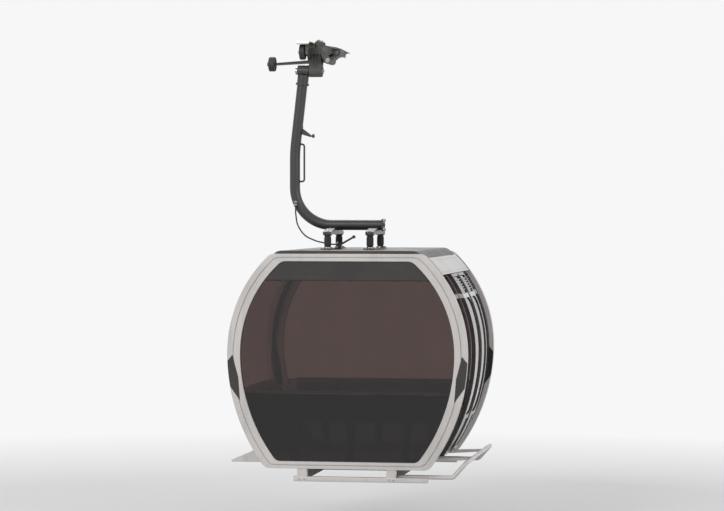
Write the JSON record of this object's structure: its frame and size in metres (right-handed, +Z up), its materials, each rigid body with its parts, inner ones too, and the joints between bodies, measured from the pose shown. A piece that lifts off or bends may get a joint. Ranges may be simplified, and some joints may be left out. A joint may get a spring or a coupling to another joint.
{
  "type": "gondola cable car cabin with hanger and rope grip",
  "caption": "Enclosed gondola cabin with rounded sides, sliding double door and facing benches, hung by a bent tube hanger from a spring-loaded rope grip.",
  "frame": {"origin": "on the rope's axis at the middle of the grip's jaws", "axes": "+Y along the rope, +Z up, +X towards the door side"},
  "size_m": [2.26, 2.1, 4.156],
  "materials": {
    "grip_casting": "dark painted steel casting, worn",
    "bright_steel": "machined steel",
    "roller_polymer": "hard polymer tread",
    "hanger_paint": "dark powder coat",
    "damper_rubber": "moulded rubber",
    "cable_sheath": "black sheath",
    "frame_silver": "light silver coat",
    "dark_trim": "near-black gloss",
    "roof_dark": "dark satin",
    "smoked_glass": "smoked clear pane",
    "light_panel": "light silver coat",
    "under_steel": "dark coat",
    "floor_sheet": "chequered sheet, worn",
    "bench_metal": "grey coat",
    "seat_fabric": "dark upholstery"
  },
  "bodies": {
    "grip": {"grip_body": "grip_casting", "wheel_beam": "grip_casting", "jaw_pin": "bright_steel", "wheel_axles": "bright_steel", "friction_plate": "bright_steel", "spring_housings": "grip_casting", "rope_tongues": "grip_casting", "hanger_pin": "bright_steel"},
    "jaw": {"moving_jaw": "grip_casting"},
    "coupling_roller": {"coupling_roller": "roller_polymer"},
    "running_wheel_front": {"running_wheel_front": "roller_polymer"},
    "running_wheel_rear": {"running_wheel_rear": "roller_polymer"},
    "door_front": {"door_leaf_front": "light_panel", "door_window_front": "smoked_glass", "door_kick_panel_front": "dark_trim"},
    "door_rear": {"door_leaf_rear": "light_panel", "door_window_rear": "smoked_glass", "door_kick_panel_rear": "dark_trim"},
    "cabin": {"hanger_head": "hanger_paint", "hanger_tube": "hanger_paint", "hanger_end_plate": "hanger_paint", "hanger_grab_rail": "hanger_paint", "release_bracket": "hanger_paint", "suspension_beams": "hanger_paint", "roof_rails": "hanger_paint", "door_lever": "hanger_paint", "cable_glands": "hanger_paint", "dampers": "damper_rubber", "door_cable": "cable_sheath", "front_end_frame": "frame_silver", "rear_end_frame": "frame_silver", "front_bumper_bar": "frame_silver", "rear_bumper_bar": "frame_silver", "outer_guide_rail": "frame_silver", "door_guide_rail": "frame_silver", "waist_inserts": "dark_trim", "front_header": "dark_trim", "rear_header": "dark_trim", "front_lower_panel": "dark_trim", "rear_lower_panel": "dark_trim", "outer_lower_panel": "dark_trim", "outer_window_frame": "dark_trim", "side_panel_front": "dark_trim", "side_panel_rear": "dark_trim", "roof": "roof_dark", "front_window": "smoked_glass", "rear_window": "smoked_glass", "outer_window": "smoked_glass", "side_window_front": "smoked_glass", "side_window_rear": "smoked_glass", "outer_header": "light_panel", "door_header": "light_panel", "underframe": "under_steel", "floor": "floor_sheet", "front_bench_frame": "bench_metal", "rear_bench_frame": "bench_metal", "front_seat_cushion": "seat_fabric", "rear_seat_cushion": "seat_fabric", "front_back_cushion": "seat_fabric", "rear_back_cushion": "seat_fabric"}
  },
  "joints": [
    {"name": "cabin_swing", "type": "hinge", "parent": "grip", "child": "cabin", "pos_m": [-0.33, 0, -0.172], "axis": [1, 0, 0], "range_deg": [-35, 35]},
    {"name": "jaw_open", "type": "hinge", "parent": "grip", "child": "jaw", "pos_m": [-0.072, 0, -0.078], "axis": [0, 1, 0], "range_deg": [0, 12], "stiffness_Nm_per_rad": 400, "springref_deg": -28.65},
    {"name": "coupling_roller_turn", "type": "hinge", "parent": "jaw", "child": "coupling_roller", "pos_m": [-0.64, 0, -0.104], "axis": [1, 0, 0], "continuous": true},
    {"name": "running_wheel_front_turn", "type": "hinge", "parent": "grip", "child": "running_wheel_front", "pos_m": [-0.3, -0.215, 0], "axis": [1, 0, 0], "continuous": true},
    {"name": "running_wheel_rear_turn", "type": "hinge", "parent": "grip", "child": "running_wheel_rear", "pos_m": [-0.3, 0.215, 0], "axis": [1, 0, 0], "continuous": true},
    {"name": "door_front_slide", "type": "slide", "parent": "cabin", "child": "door_front", "axis": [0, -1, 0], "range_m": [0, 0.405]},
    {"name": "door_rear_slide", "type": "slide", "parent": "cabin", "child": "door_rear", "axis": [0, 1, 0], "range_m": [0, 0.405]}
  ],
  "couplings": [
    {"joint": "door_rear_slide", "follows": "door_front_slide", "ratio": 1}
  ]
}
